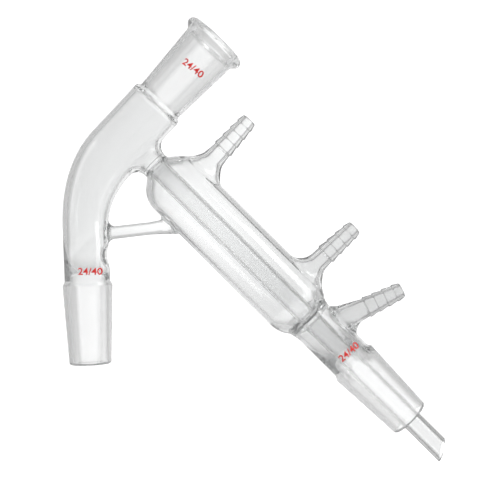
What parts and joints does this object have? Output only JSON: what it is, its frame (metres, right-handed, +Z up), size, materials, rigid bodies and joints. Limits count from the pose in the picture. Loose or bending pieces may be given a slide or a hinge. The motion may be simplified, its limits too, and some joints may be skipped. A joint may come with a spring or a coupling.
{
  "type": "short-path distillation head",
  "caption": "one-piece glass distillation head: ground flask joint, bent vapour tube with top socket, slanted water-jacketed condenser, vacuum take-off and drip joint",
  "frame": {"origin": "centre of the flask joint's 24 mm gauge plane, on its axis", "axes": "+Z up along the flask joint and riser, the vapour tube and the condenser lean towards +X, Y across the head, and every tube axis lies in the XZ plane"},
  "size_m": [0.1815, 0.0332, 0.2185],
  "materials": {
    "glass": "clear fire-polished borosilicate glass with finely ground joint faces"
  },
  "bodies": {
    "root": {"glass_head": "glass"}
  },
  "joints": []
}
